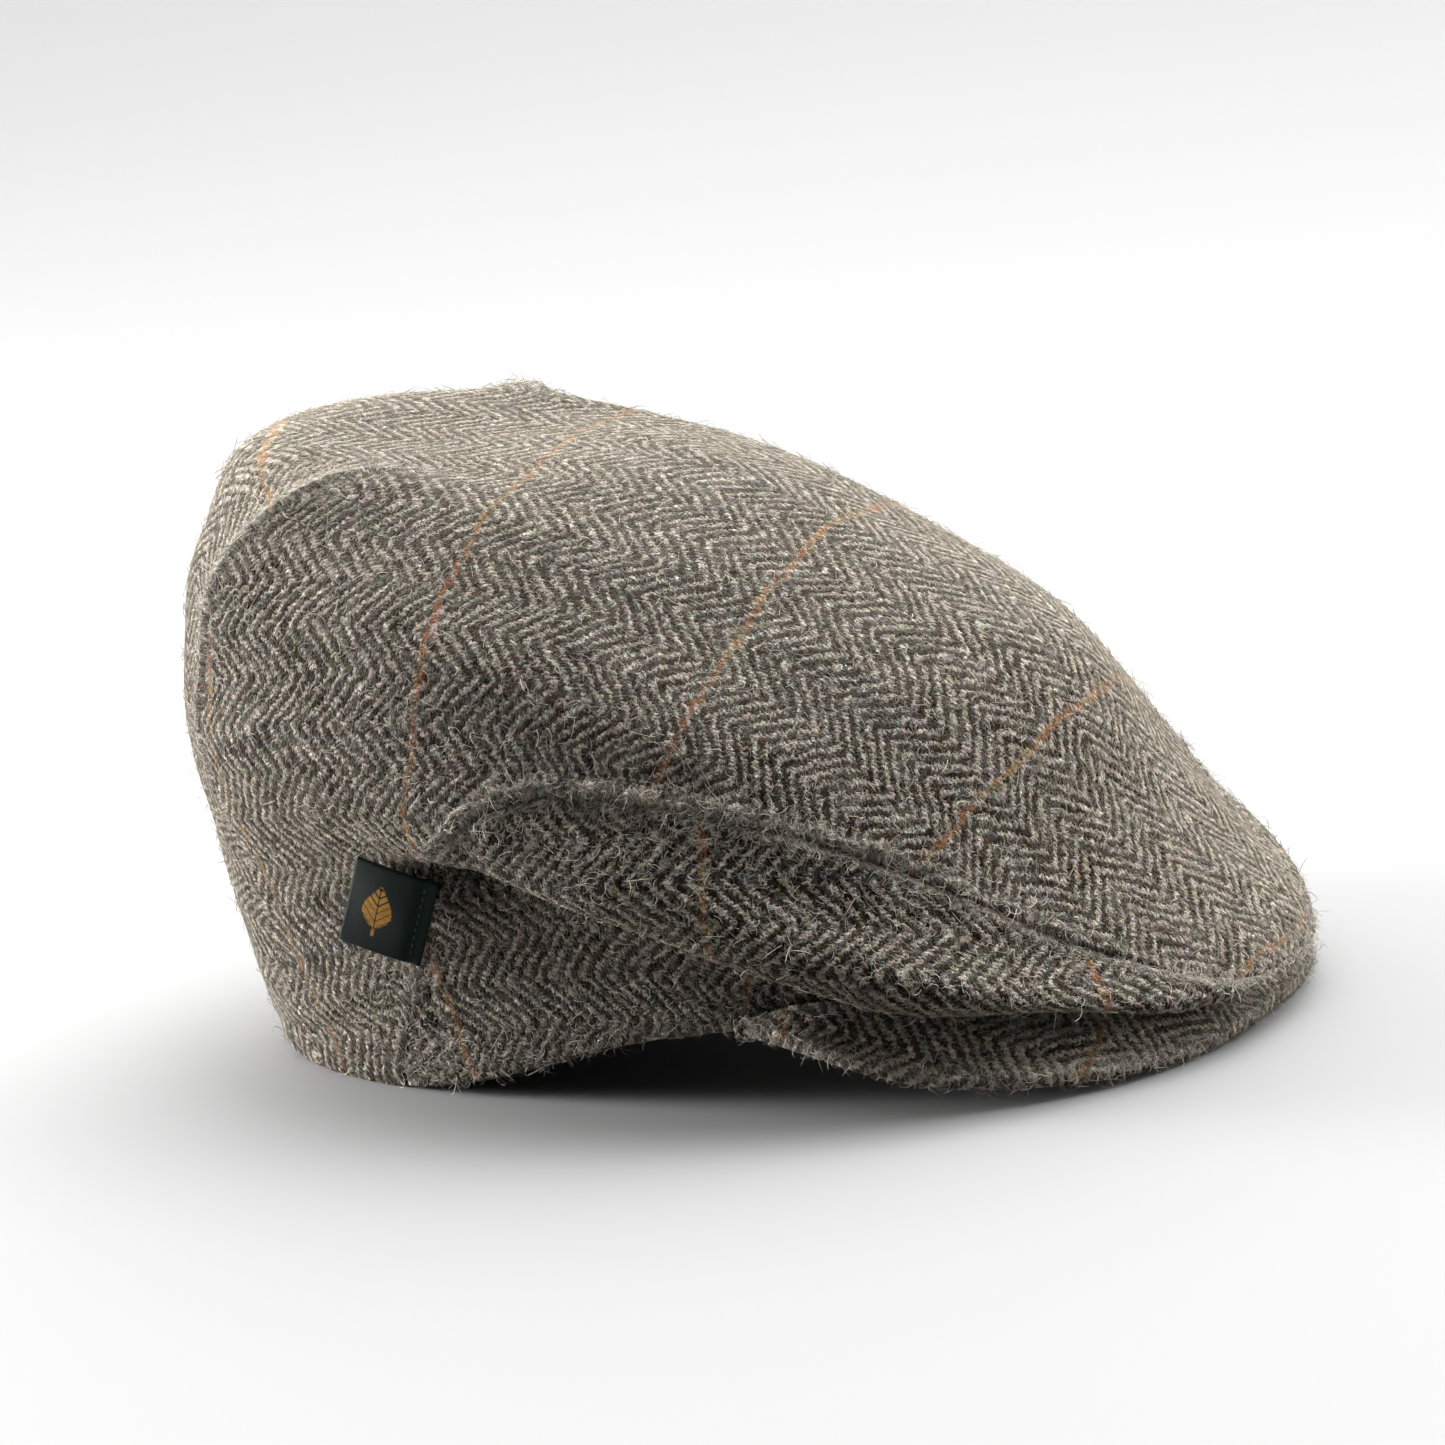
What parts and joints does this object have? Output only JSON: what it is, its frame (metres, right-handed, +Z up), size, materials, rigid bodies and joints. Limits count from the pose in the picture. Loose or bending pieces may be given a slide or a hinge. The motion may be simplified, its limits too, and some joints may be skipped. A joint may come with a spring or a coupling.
{
  "type": "flat cap",
  "caption": "Soft tweed flat cap with a full rounded crown, overhanging sides, rear darts, a short stiff peak and a small cloth side label, open below for the head.",
  "frame": {"origin": "middle of the cap's bounding box, at the level of the surface that it rests on", "axes": "+X to the front, where the peak is; +Y to the wearer's left; +Z up"},
  "size_m": [0.26, 0.187, 0.1413],
  "materials": {
    "tweed_top": "woolly herringbone tweed, matt",
    "tweed_side": "woolly herringbone tweed, matt",
    "tweed_peak": "woolly herringbone tweed over a stiff core, matt",
    "label_weave": "fine dark green woven tape"
  },
  "bodies": {
    "root": {"crown_top": "tweed_top", "side_panel_left": "tweed_side", "side_panel_right": "tweed_side", "peak": "tweed_peak", "side_label": "label_weave"}
  },
  "joints": []
}
